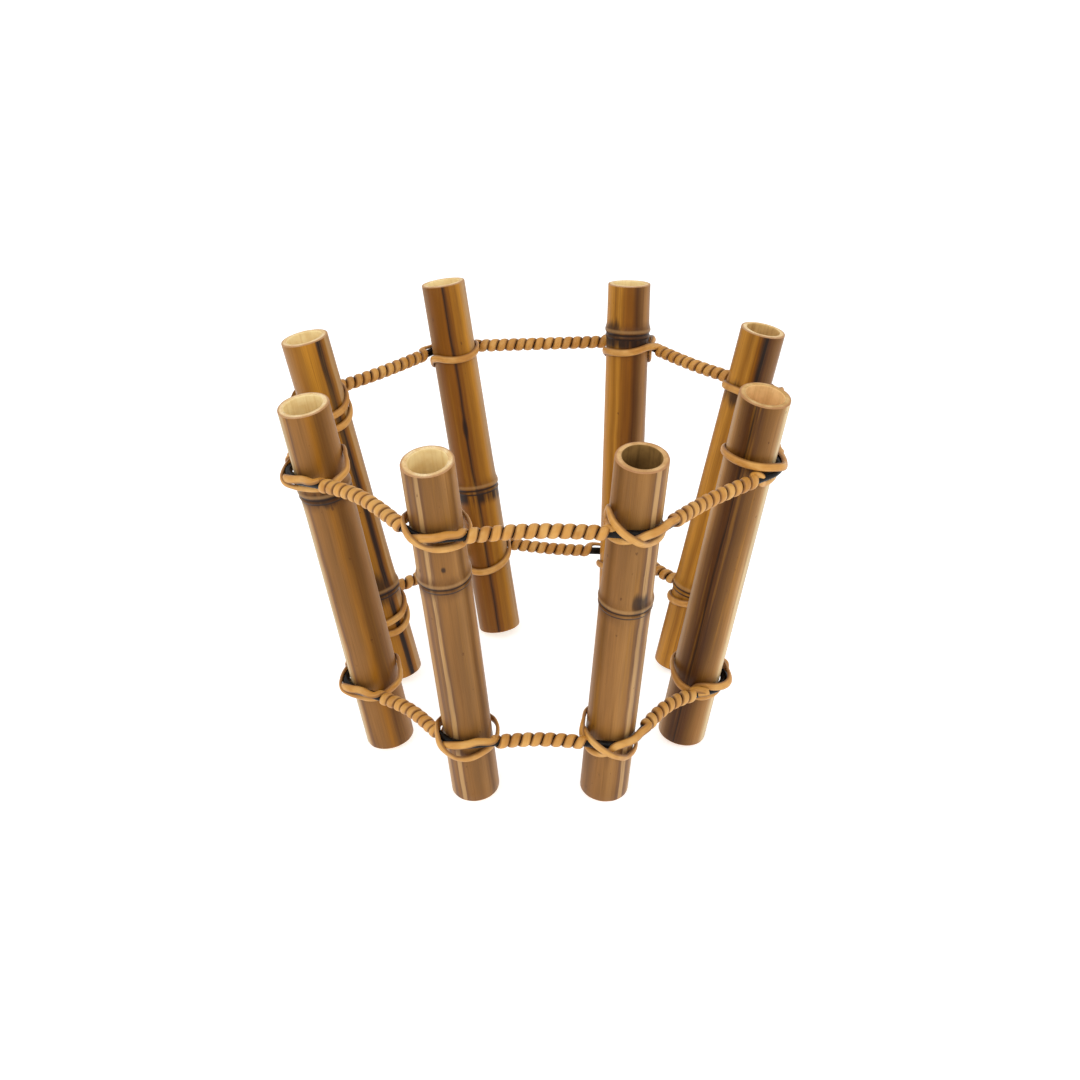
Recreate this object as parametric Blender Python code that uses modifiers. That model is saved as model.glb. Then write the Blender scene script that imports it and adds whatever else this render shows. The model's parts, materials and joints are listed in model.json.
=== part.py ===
"""Open flared ring of eight bamboo sections, lashed with reed to two hoops.

Metres, +Z up. The ring stands on the floor at z = 0 and is centred on the origin.
The sections are numbered anticlockwise seen from above, starting at the front left.
Each hoop is a round core that runs over the outer face of every section. A reed is
wound round the core between the sections, and crosses over it at each section.
"""

from math import acos, atan2, cos, radians, sin, sqrt, tau

import bmesh
import bpy
from mathutils import Matrix, Vector

MM = 0.001
CLEARANCE = 0.3 * MM

# Bamboo sections. Each row is one section: the azimuths of its foot and its top in
# degrees, the radii of both from the ring's middle, its length and diameter, and the
# height of its growth node along the section (None for a section cut between nodes).
SECTIONS = (
    (-113, -114, 86, 124, 211, 24.7, 145),
    (-67, -67, 86, 118, 210, 25.0, 127),
    (-22, -23, 84, 118, 212, 25.5, None),
    (25, 22, 87, 128, 208, 23.7, 51),
    (57, 66, 86, 124, 209, 23.7, 181),
    (108, 116, 79, 125, 211, 24.2, 90),
    (161, 162, 86, 131, 207, 25.0, 55),
    (-157, -157, 89, 124, 208, 25.5, 161),
)
RING_SHIFT_X = 1.8 * MM
WALL = 3.1 * MM
EDGE_CHAMFER = 0.6 * MM
NODE_SWELL = 0.7 * MM
NODE_HALF_WIDTH = 3.0 * MM
NODE_RIDGE_HALF = 0.8 * MM
DIAPHRAGM = 2.4 * MM
SECTION_STEPS = 20

# Hoops: height of the core where it passes each section, how far the middle of each
# span stands above the straight line, and how far it bows out, all in millimetres.
HOOPS = {
    "upper": ((175, 175, 173, 169, 169, 166, 166, 171), (1, -1, 0, 0, 2, 1, 0, 5), 10),
    "lower": ((44, 43, 40, 43, 43, 48, 42, 42), (0, 4, 0, 0, 1, 0, 0, 2), 9),
}
CORE_RADIUS = 2.1 * MM
WRAP_RADIUS = 3.7 * MM
WRAP_START = 15 * MM
ARC_POINTS = 4
STRAIGHT_POINTS = 2
ROUNDING_PASSES = 2
WRAP_POINTS = 7

# Reed: a half-round strip, flat side in.
REED_WIDTH = 4.8 * MM
REED_THICKNESS = 1.6 * MM

# Route of one lashing round a section, seen from outside: degrees to the right of the
# outermost line, millimetres above the core's plane, millimetres from the bamboo to the
# strip's middle, and the tilt of the strip's outer side towards the top, in degrees.
LASHING_ROUTE = (
    (-56, 6.0, 5.4, 60),
    (-72, 7.2, 4.4, 35),
    (-92, 4.8, 2.0, 10),
    (-115, 2.8, 1.4, 0),
    (-140, 1.6, 1.4, 0),
    (-165, 0.4, 1.4, 0),
    (170, -1.0, 1.4, 0),
    (145, -2.5, 1.4, 0),
    (120, -4.0, 1.4, 0),
    (95, -5.2, 1.4, 0),
    (70, -5.6, 1.4, 0),
    (45, -5.7, 1.5, 0),
    (20, -5.2, 2.6, -10),
    (0, -2.8, 7.0, -15),
    (-12, 0.6, 8.3, -5),
    (-24, 4.2, 8.0, 5),
    (-42, 8.4, 7.4, 20),
    (-64, 11.4, 6.4, 15),
    (-86, 10.6, 5.4, 0),
    (-101, 5.0, 4.6, -5),
    (-105, -0.6, 3.2, 0),
    (-95, -4.9, 1.6, 0),
    (-70, -6.2, 1.4, 0),
    (-46, -5.6, 1.5, 0),
    (-34, -5.2, 3.0, -10),
    (-20, -1.8, 6.3, -12),
    (-4, 2.6, 6.0, 0),
    (14, 6.0, 5.6, 20),
    (36, 7.8, 4.4, 30),
    (54, 6.6, 5.0, 50),
)

BAMBOO_COLOUR = (0.42, 0.25, 0.10, 1)
CORE_COLOUR = (0.012, 0.011, 0.012, 1)
REED_COLOUR = (0.62, 0.36, 0.13, 1)


def clear_scene():
    for old in list(bpy.data.objects):
        bpy.data.objects.remove(old)


def make_material(name, colour, roughness):
    material = bpy.data.materials.new(name)
    material.use_nodes = True
    shader = material.node_tree.nodes["Principled BSDF"]
    shader.inputs["Base Color"].default_value = colour
    shader.inputs["Roughness"].default_value = roughness
    shader.inputs["Metallic"].default_value = 0.0
    return material


def add_object(name, data, material, ring):
    """Links new data as a named object of the ring."""
    piece = bpy.data.objects.new(name, data)
    piece.parent = ring
    data.materials.append(material)
    bpy.data.collections["bamboo_ring"].objects.link(piece)
    return piece


def polar(radius, degrees, height=0.0):
    angle = radians(degrees)
    return Vector((radius * cos(angle), radius * sin(angle), height))


class Section:
    """Place and size of one bamboo section."""

    def __init__(self, number, row):
        foot_turn, top_turn, foot_radius, top_radius, length, diameter, node = row
        self.name = f"bamboo_section_{number}"
        self.length = length * MM
        self.radius = diameter * MM / 2
        self.node = None if node is None else node * MM
        foot = polar(foot_radius * MM, foot_turn)
        spread = polar(top_radius * MM, top_turn) - foot
        rise = sqrt(self.length**2 - spread.length_squared)
        self.axis = (spread + Vector((0, 0, rise))).normalized()
        # The section stands on the outer edge of its square-cut foot.
        outer_edge = (self.radius - EDGE_CHAMFER) * spread.length / self.length
        self.foot = foot + Vector((0, 0, outer_edge))
        outward = polar(1.0, (foot_turn + top_turn) / 2)
        self.out = (outward - self.axis * outward.dot(self.axis)).normalized()
        self.side = self.axis.cross(self.out)

    def centre(self, height):
        """Point of the axis at a height above the floor."""
        return self.foot + self.axis * ((height - self.foot.z) / self.axis.z)


def node_bumps(section):
    """Outer outline of the growth node, top to bottom, as height and radius."""
    if section.node is None:
        return []
    swollen = section.radius + NODE_SWELL
    return [
        (section.node + NODE_HALF_WIDTH, section.radius),
        (section.node + NODE_RIDGE_HALF, swollen),
        (section.node - NODE_RIDGE_HALF, swollen),
        (section.node - NODE_HALF_WIDTH, section.radius),
    ]


def section_profile(section):
    """Half outline of a section: up the bore, over the rim, down outside, up the bore."""
    outer = section.radius
    inner = outer - WALL
    top = section.length
    rim = [
        (top, inner),
        (top, outer - EDGE_CHAMFER),
        (top - EDGE_CHAMFER, outer),
    ]
    foot = [
        (EDGE_CHAMFER, outer),
        (0.0, outer - EDGE_CHAMFER),
        (0.0, inner),
    ]
    outline = rim + node_bumps(section) + foot
    if section.node is not None:
        over = section.node + DIAPHRAGM / 2
        under = section.node - DIAPHRAGM / 2
        outline = [(over, 0.0), (over, inner)] + outline + [(under, inner), (under, 0.0)]
    return [Vector((radius, 0, height)) for height, radius in outline]


def make_section(section, material, ring):
    points = section_profile(section)
    edges = [(i, i + 1) for i in range(len(points) - 1)]
    if section.node is None:
        edges.append((len(points) - 1, 0))
    mesh = bpy.data.meshes.new(section.name)
    mesh.from_pydata(points, edges, [])
    piece = add_object(section.name, mesh, material, ring)
    piece.location = section.foot
    turn = Matrix((section.out, section.side, section.axis)).transposed()
    piece.rotation_euler = turn.to_euler()
    screw = piece.modifiers.new("turned", "SCREW")
    screw.steps = SECTION_STEPS
    screw.render_steps = SECTION_STEPS
    screw.use_merge_vertices = True
    screw.merge_threshold = 0.00001
    screw.use_smooth_shade = True
    return piece


def tangent_angle(middle, centre, reach, turn):
    """Direction, seen from a section's axis, where the core leaves for mid-span."""
    away = middle - centre
    return atan2(away.y, away.x) + turn * acos(reach / away.length)


def rounded(points):
    """The same run of points with its corner drawn out, its two ends kept."""
    for _ in range(ROUNDING_PASSES):
        inner = [
            (a + b * 2 + c) / 4 for a, b, c in zip(points, points[1:], points[2:])
        ]
        points = [points[0]] + inner + [points[-1]]
    return points


def span_middle(start, end, lift, bulge):
    """Middle of the core between two sections' axes."""
    between = (start + end) / 2
    outward = Vector((between.x, between.y, 0)).normalized()
    return between + outward * bulge * MM + Vector((0, 0, lift * MM))


def hoop_route(sections, heights, lifts, bulge):
    """The core's middle line as a closed list of points, and where each part starts.

    Over each section it is an arc, and from there it runs nearly straight to the next.
    """
    centres = [s.centre(h * MM) for s, h in zip(sections, heights)]
    middles = [
        span_middle(centres[i], centres[(i + 1) % 8], lift, bulge)
        for i, lift in enumerate(lifts)
    ]
    arcs = []
    for i, section in enumerate(sections):
        reach = section.radius + CORE_RADIUS + 2 * CLEARANCE
        first = tangent_angle(middles[i - 1].xy, centres[i].xy, reach, 1)
        last = tangent_angle(middles[i].xy, centres[i].xy, reach, -1)
        sweep = (last - first) % tau
        angles = [first + sweep * k / ARC_POINTS for k in range(ARC_POINTS + 1)]
        arcs.append([centres[i] + Vector((cos(a), sin(a), 0)) * reach for a in angles])
    points = []
    arc_starts = []
    for i, middle in enumerate(middles):
        leave = arcs[i][-1]
        arrive = arcs[(i + 1) % 8][0]
        steps = STRAIGHT_POINTS + 1
        span = [leave.lerp(middle, k / steps) for k in range(steps)]
        span += [middle.lerp(arrive, k / steps) for k in range(steps + 1)]
        arc_starts.append(len(points))
        points += arcs[i][:-1] + rounded(span)[:-1]
    return points, arc_starts, centres


def curve_data(name, points, radius, closed):
    curve = bpy.data.curves.new(name, "CURVE")
    curve.dimensions = "3D"
    curve.bevel_depth = radius
    curve.bevel_resolution = 2
    curve.use_fill_caps = False
    spline = curve.splines.new("POLY")
    spline.points.add(len(points) - 1)
    for slot, point in zip(spline.points, points):
        slot.co = (*point, 1)
    spline.use_cyclic_u = closed
    spline.use_smooth = True
    return curve


def span_points(route, arc_starts, number):
    """The core's points from one section's arc to the next one's."""
    start = arc_starts[number] + ARC_POINTS
    end = arc_starts[(number + 1) % 8]
    if end < start:
        end += len(route)
    return [route[k % len(route)] for k in range(start, end + 1)]


def trimmed(points, centre_a, centre_b):
    """The stretch of a span that stands WRAP_START or more past both sections."""
    chord = (centre_b - centre_a).normalized()
    low = WRAP_START
    high = (centre_b - centre_a).length - WRAP_START
    reach = [(p - centre_a).dot(chord) for p in points]
    kept = []
    for k in range(WRAP_POINTS):
        wanted = low + (high - low) * k / (WRAP_POINTS - 1)
        after = next(j for j in range(1, len(points)) if reach[j] >= wanted)
        share = (wanted - reach[after - 1]) / (reach[after] - reach[after - 1])
        kept.append(points[after - 1].lerp(points[after], share))
    return kept


def make_wrap(name, points, material, ring):
    """The winding as a sleeve round the core."""
    piece = add_object(name, curve_data(name, points, WRAP_RADIUS, False), material, ring)
    wall = piece.modifiers.new("wall", "SOLIDIFY")
    wall.thickness = WRAP_RADIUS - CORE_RADIUS - 2 * CLEARANCE
    wall.offset = -1
    return piece


def lashing_frames(section, centre):
    """Middle point and outer direction of the strip at every station."""
    frames = []
    for degrees, height, lift, tilt in LASHING_ROUTE:
        angle = radians(degrees)
        away = section.out * cos(angle) + section.side * sin(angle)
        # The core's plane is level, so it cuts the leaning section at a slant.
        level = -away.z * section.radius / section.axis.z
        point = centre + away * (section.radius + lift * MM)
        point += section.axis * (level + height * MM)
        lean = radians(tilt)
        frames.append((point, away * cos(lean) + section.axis * sin(lean)))
    return frames


def make_lashing(name, section, centre, material, ring):
    """The reed's crossing, lofted from a half-round section."""
    frames = lashing_frames(section, centre)
    half = REED_WIDTH / 2
    rise = REED_THICKNESS / 2
    outline = ((-half, -rise), (half, -rise), (0.7 * half, 0.5 * rise))
    outline += ((0.0, rise), (-0.7 * half, 0.5 * rise))
    mesh = bmesh.new()
    rings = []
    for i, (point, outer) in enumerate(frames):
        before = frames[max(i - 1, 0)][0]
        after = frames[min(i + 1, len(frames) - 1)][0]
        along = (after - before).normalized()
        outer = (outer - along * outer.dot(along)).normalized()
        across = outer.cross(along)
        rings.append([mesh.verts.new(point + across * x + outer * y) for x, y in outline])
    count = len(outline)
    for low, high in zip(rings, rings[1:]):
        for k in range(count):
            n = (k + 1) % count
            mesh.faces.new((low[k], high[k], high[n], low[n]))
    mesh.faces.new(rings[0])
    mesh.faces.new(rings[-1][::-1])
    bmesh.ops.recalc_face_normals(mesh, faces=mesh.faces)
    data = bpy.data.meshes.new(name)
    mesh.to_mesh(data)
    mesh.free()
    data.shade_smooth()
    data.set_sharp_from_angle(angle=radians(40))
    return add_object(name, data, material, ring)


def make_hoop(level, sections, materials, ring):
    heights, lifts, bulge = HOOPS[level]
    route, arc_starts, centres = hoop_route(sections, heights, lifts, bulge)
    core = f"{level}_hoop_core"
    add_object(core, curve_data(core, route, CORE_RADIUS, True), materials["core"], ring)
    for i, section in enumerate(sections):
        span = span_points(route, arc_starts, i)
        span = trimmed(span, centres[i], centres[(i + 1) % 8])
        make_wrap(f"{level}_winding_{i + 1}", span, materials["reed"], ring)
        name = f"{level}_lashing_{i + 1}"
        make_lashing(name, section, centres[i], materials["reed"], ring)


def main():
    clear_scene()
    collection = bpy.data.collections.new("bamboo_ring")
    bpy.context.scene.collection.children.link(collection)
    ring = bpy.data.objects.new("ring_origin", None)
    collection.objects.link(ring)
    ring.location = (RING_SHIFT_X, 0, 0)
    materials = {
        "bamboo": make_material("bamboo", BAMBOO_COLOUR, 0.45),
        "core": make_material("core", CORE_COLOUR, 0.25),
        "reed": make_material("reed", REED_COLOUR, 0.5),
    }
    sections = [Section(i, row) for i, row in enumerate(SECTIONS, start=1)]
    for section in sections:
        make_section(section, materials["bamboo"], ring)
    for level in HOOPS:
        make_hoop(level, sections, materials, ring)


main()
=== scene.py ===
import json
from math import acos, atan2, cos, exp, pi, radians, sin, tau

import bmesh
import bpy
import numpy as np
from mathutils import Matrix, Vector


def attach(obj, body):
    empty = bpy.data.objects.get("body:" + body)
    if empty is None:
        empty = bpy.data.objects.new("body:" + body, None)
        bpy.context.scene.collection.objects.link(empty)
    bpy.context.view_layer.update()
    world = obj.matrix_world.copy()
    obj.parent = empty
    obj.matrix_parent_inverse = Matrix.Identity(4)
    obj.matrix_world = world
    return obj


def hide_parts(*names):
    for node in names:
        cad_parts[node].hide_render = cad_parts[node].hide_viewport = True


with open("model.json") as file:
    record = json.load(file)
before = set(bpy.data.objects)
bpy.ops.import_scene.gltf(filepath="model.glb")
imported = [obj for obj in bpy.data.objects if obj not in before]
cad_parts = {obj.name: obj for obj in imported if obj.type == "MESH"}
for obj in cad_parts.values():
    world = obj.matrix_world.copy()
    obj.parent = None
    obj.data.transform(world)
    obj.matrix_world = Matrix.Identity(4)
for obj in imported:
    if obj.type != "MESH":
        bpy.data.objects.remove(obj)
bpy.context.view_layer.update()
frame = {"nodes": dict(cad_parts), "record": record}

MM = 0.001
UP = Vector((0, 0, 1))
BODY = "root"
SECTION_COUNT = 8

# Camera: the point that it aims at, close to the ring's axis, and its place from there.
AIM = Vector((0.0018, 0.0, 0.1047))
CAMERA_DISTANCE = 0.9055
CAMERA_PITCH = radians(29.59)
CAMERA_LENS = 56.28
CAMERA_SENSOR = 36

# Studio, in metres and watts. A light has a place, a size and a power.
FLOOR_SIZE = 12
FLOOR_GREYS = ((0.68, 0.68, 0.68, 1), (0.72, 0.72, 0.72, 1))
FLOOR_GLOW = 0.6
WHITE = (1, 1, 1, 1)
WORLD_STRENGTH = 0.95
LIGHTS = {
    "key": ((-0.6, -0.9, 1.4), 0.6, 5),
    "fill": ((1.2, -0.6, 0.9), 0.8, 2),
}

# Reading a CAD section: how far up counts as its foot and as its low end, and how far skin has
# to stand out to be part of the node.
FOOT_SLICE = 0.05 * MM
LOW_SLICE = 1.0 * MM
NODE_RISE = 0.3 * MM

# Hoops, in mm: height of the core at each section, rise of each span's middle, and how far
# every middle bows outward.
HOOPS = {
    "upper": ((175, 175, 173, 169, 169, 166, 166, 171), (1, -1, 0, 0, 2, 1, 0, 5), 10),
    "lower": ((44, 43, 40, 43, 43, 48, 42, 42), (0, 4, 0, 0, 1, 0, 0, 2), 9),
}
CORE_RADIUS = 2.1 * MM
CORE_SIDES = 20
CORE_GAP = 0.6 * MM
# Fineness of a core's line: steps round a section, points between a section and mid-span,
# passes that round the corner at mid-span, and smooth steps from each point to the next.
ARC_POINTS = 4
STRAIGHT_POINTS = 2
ROUNDING_PASSES = 2
ROUTE_STEPS = 10

# Where a winding starts and ends, in mm along the chord from the axis of the section at each
# end. The key is the hoop and the section that the span starts from.
WIND_ENDS = {
    ("upper", 1): (10, 15),
    ("upper", 2): (11, 13),
    ("upper", 8): (16, 7),
    ("lower", 1): (13, 15),
    ("lower", 2): (12, 18),
    ("lower", 5): (19, 11),
    ("lower", 8): (17, 7),
    "others": (11, 11),
}
WIND_THICKNESS = 1.5 * MM
WIND_WIDTH = 4.9 * MM
WIND_PITCH = 5.3 * MM
WIND_GAP = 0.1 * MM
WIND_STEPS = 26
WIND_START = radians(80)
# The turns wander a little along the core, by this much and this often.
WIND_WANDER = 0.12 * MM
WIND_RHYTHM = 0.37

# Reed: half-round strip, flat side in.
REED_WIDTH = 4.4 * MM
REED_THICKNESS = 1.8 * MM
REED_GAP = 0.15 * MM
REED_SIDES = 9
# Its outline as shares of half the width and half the thickness: the power that shapes the
# crown, the places of the soft lower corners, and the half width of the flat side.
REED_CROWN = 0.85
REED_CORNER = (0.96, -0.75)
REED_FLAT = 0.8
SHARP_EDGE = radians(50)
# Steps from row to row of a lashing, steps of the curve that joins it to a winding, and the
# length of that curve's handles as a share of the gap.
LASHING_STEPS = 6
JOIN_STEPS = 10
JOIN_PULL = 0.45

# Lashings. Each row of a route is a place on the strip's middle line: degrees to the right
# of the section's outermost line, millimetres above the core's plane, millimetres from the
# bamboo, and the strip's tilt in degrees. A row of two numbers lies on the core itself:
# the same direction, and how far round the core, where 0 faces out and 90 faces up.
#
# Most lashings come from the winding on the left, pass behind the section, cross its outer
# face to the left, turn back there, and leave over the core on the right. Several of them
# share these stretches.
ARRIVE_HIDDEN = ((-60, 2.0, 5.0, 30), (-76, 0.5, 2.6, 10), (-94, 0.5, 1.4, 0))
BEHIND_FALLING = (
    (-115, 2.8, 1.4, 0), (-140, 1.6, 1.4, 0), (-165, 0.4, 1.4, 0), (170, -1.0, 1.4, 0),
    (145, -2.5, 1.4, 0), (120, -4.0, 1.4, 0), (95, -5.2, 1.4, 0), (70, -5.6, 1.4, 0),
)
BEHIND_RISING = (
    (-115, 1.5, 1.4, 0), (-140, 4.0, 1.4, 0), (-165, 7.5, 1.4, 0), (170, 10.0, 1.5, 0),
    (150, 9.0, 2.2, 0),
)
BEHIND_LOW = (
    (-115, 0.5, 1.4, 0), (-140, 0.7, 1.4, 0), (-165, 1.2, 1.4, 0), (170, 1.4, 1.4, 0),
    (150, 0.8, 1.6, 0),
)
TURN_BACK = (
    (-74, 3.0, 1.9, 0), (-90, 2.0, 1.6, 0), (-100, -0.6, 1.6, 0), (-97, -4.0, 1.4, 0),
    (-80, -5.6, 1.4, 0), (-58, -5.6, 1.4, 0),
)
CROSSED_BEFORE = ((-60, 3.2, 6.2, 50), (-76, 4.4, 3.8, 25), (-96, 5.0, 1.7, 0))
CROSSED_INSIDE = (
    (-120, 4.8, 1.4, 0), (-145, 4.2, 1.4, 0), (-170, 3.6, 1.4, 0), (165, 3.0, 1.4, 0),
    (140, 2.0, 1.4, 0), (115, 0.0, 1.4, 0), (90, -3.6, 1.4, 0), (65, -6.0, 1.4, 0),
)
CROSSED_AFTER = (
    (42, -6.0, 1.5, 0), (22, -5.2, 2.6, -10), (4, -2.8, 6.8, -15), (-8, 0.6, 8.0, -5),
    (-20, 3.2, 7.4, 5), (-36, 4.8, 5.6, 15), (-51, 5.0, 3.4, 10), (-62, 3.4, 1.8, 0),
    (-67, 0.2, 1.4, 0), (-63, -3.6, 1.4, 0), (-53, -5.2, 1.4, 0), (-42, -5.4, 1.5, 0),
    (-30, -4.8, 3.0, -20),
    (-16, -25), (0, 20), (18, 45), (36, 65),
)
CROSSED_HIGH = (
    (-120, 5.4, 1.4, 0), (-145, 7.0, 1.4, 0), (-170, 7.2, 1.4, 0), (165, 6.4, 1.4, 0),
    (140, 4.6, 1.4, 0), (115, 1.4, 1.4, 0), (90, -2.6, 1.4, 0), (65, -6.0, 1.4, 0),
)
CROSSED_LEVEL = (
    (-120, 4.8, 1.4, 0), (-145, 4.2, 1.4, 0), (-170, 3.6, 1.4, 0), (165, 3.2, 1.4, 0),
    (140, 3.0, 1.4, 0), (115, 2.6, 1.4, 0), (90, 0.2, 1.6, 0), (65, -4.5, 1.4, 0),
)
CROSSED_LOW = (
    (-120, 2.8, 1.4, 0), (-145, 0.6, 1.4, 0), (-170, -1.6, 1.4, 0), (165, -3.6, 1.4, 0),
    (140, -5.2, 1.4, 0), (115, -6.2, 1.4, 0), (90, -6.6, 1.4, 0), (65, -6.6, 1.4, 0),
)
CROSSED = CROSSED_BEFORE + CROSSED_INSIDE + CROSSED_AFTER
# Passes behind the section a second time instead of turning back.
DOUBLED = (
    (-60, 3.6, 6.4, 50), (-76, 6.4, 4.0, 25), (-96, 8.0, 1.9, 0), (-120, 8.2, 1.4, 0),
    (-145, 6.6, 1.4, 0), (-170, 4.0, 1.4, 0), (165, 1.6, 1.4, 0), (140, 0.0, 1.4, 0),
    (115, -2.0, 1.4, 0), (90, -4.4, 1.4, 0), (65, -6.2, 1.4, 0), (42, -6.0, 1.5, 0),
    (22, -5.2, 2.6, -10), (4, -2.8, 6.8, -15), (-8, 0.6, 7.4, -5), (-20, 4.0, 7.0, 5),
    (-38, 6.4, 5.2, 15), (-58, 6.0, 2.6, 10), (-78, 4.0, 1.5, 0), (-100, 3.0, 1.4, 0),
    (-125, 1.6, 1.4, 0), (-150, -1.0, 1.4, 0), (-175, -4.0, 1.4, 0), (160, -6.4, 1.4, 0),
    (135, -7.8, 1.4, 0), (110, -8.2, 1.4, 0), (86, -7.2, 1.6, 0), (66, -4.6, 3.4, -30),
)
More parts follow.
